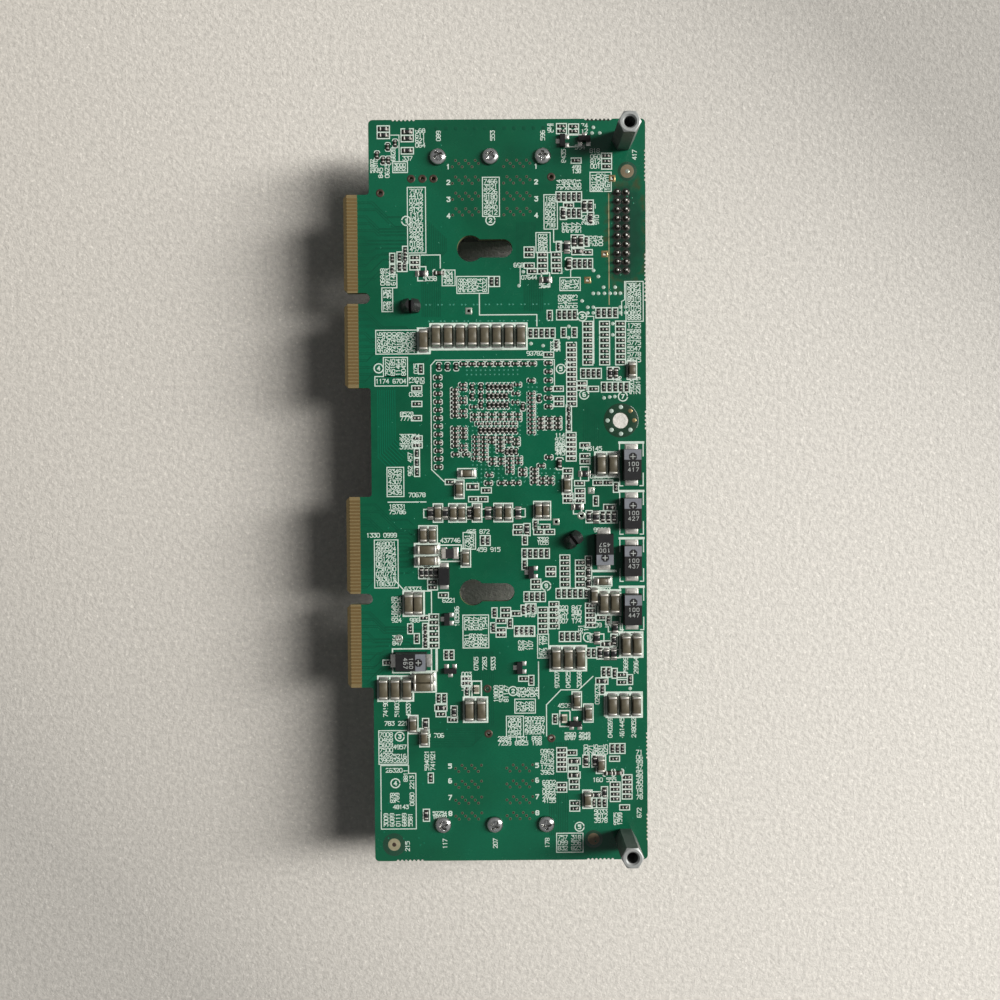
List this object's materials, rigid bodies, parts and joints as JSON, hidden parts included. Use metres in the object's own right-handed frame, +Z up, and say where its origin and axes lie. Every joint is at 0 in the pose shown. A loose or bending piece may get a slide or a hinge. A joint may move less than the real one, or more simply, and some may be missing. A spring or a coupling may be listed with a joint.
{
  "type": "drive backplane board",
  "caption": "Server drive backplane board, component side down on its cable receptacles, with keyed card edges, keyhole mounts, hex standoffs and solder-side parts.",
  "frame": {"origin": "middle of the footprint, on the plane that the cable receptacles stand on", "axes": "+Y along the board, +X away from the card edges, +Z up out of the solder side"},
  "size_m": [0.07, 0.1726, 0.0321],
  "materials": {
    "laminate": "satin green solder mask over glass-epoxy laminate",
    "contact_gold": "hard gold plating, slightly dull",
    "housing_metal": "nickel-plated die casting, satin",
    "insulator": "black glass-filled moulding",
    "screw_metal": "bright nickel-plated steel",
    "standoff_metal": "darkened steel, fine-turned",
    "solder": "bright tin solder",
    "tin": "matt tin plating",
    "substrate": "package laminate",
    "mould_black": "black epoxy moulding, fine matt grain",
    "pad_grey": "soft grey thermal pad",
    "sink_aluminium": "black anodised aluminium",
    "nylon_black": "black nylon",
    "spring_steel": "drawn wire",
    "chip_black": "black glazed resistor film",
    "chip_brown": "brown dielectric, satin",
    "lamp_white": "white lamp base",
    "lamp_clear": "clear lens",
    "ferrite": "dark grey pressed ferrite",
    "can_metal": "crystal can, satin"
  },
  "bodies": {
    "root": {"circuit_board": "laminate", "edge_contacts_upper": "contact_gold", "edge_contacts_lower": "contact_gold", "receptacle_housing_upper": "housing_metal", "receptacle_housing_lower": "housing_metal", "port_insert_upper_left": "insulator", "port_insert_upper_right": "insulator", "port_insert_lower_left": "insulator", "port_insert_lower_right": "insulator", "port_contacts_upper": "contact_gold", "port_contacts_lower": "contact_gold", "receptacle_screws_upper": "screw_metal", "receptacle_screws_lower": "screw_metal", "standoff_upper": "standoff_metal", "standoff_lower": "standoff_metal", "standoff_screws": "screw_metal", "processor_solder": "solder", "processor_substrate": "substrate", "processor_cap": "mould_black", "thermal_pad": "pad_grey", "heat_sink": "sink_aluminium", "push_pin_upper": "nylon_black", "push_pin_lower": "nylon_black", "push_pin_springs": "spring_steel", "header_insulator": "insulator", "header_pins": "tin", "small_resistors": "chip_black", "small_capacitors": "chip_brown", "medium_resistors": "chip_black", "medium_capacitors": "chip_brown", "large_resistors": "chip_black", "large_resistors_terminals": "tin", "large_capacitors": "chip_brown", "large_capacitors_terminals": "tin", "bulk_capacitors": "chip_brown", "bulk_capacitors_terminals": "tin", "polymer_capacitors": "mould_black", "polymer_capacitor_leads": "tin", "transistors": "mould_black", "transistor_leads": "tin", "indicator_bases": "lamp_white", "indicator_lenses": "lamp_clear", "power_diode": "mould_black", "power_diode_leads": "tin", "fuse": "insulator", "fuse_terminals": "tin", "power_inductors": "ferrite", "regulator_chips": "mould_black", "underside_capacitors": "chip_brown", "memory_chip": "mould_black", "memory_chip_leads": "tin", "crystal": "can_metal"}
  },
  "joints": []
}
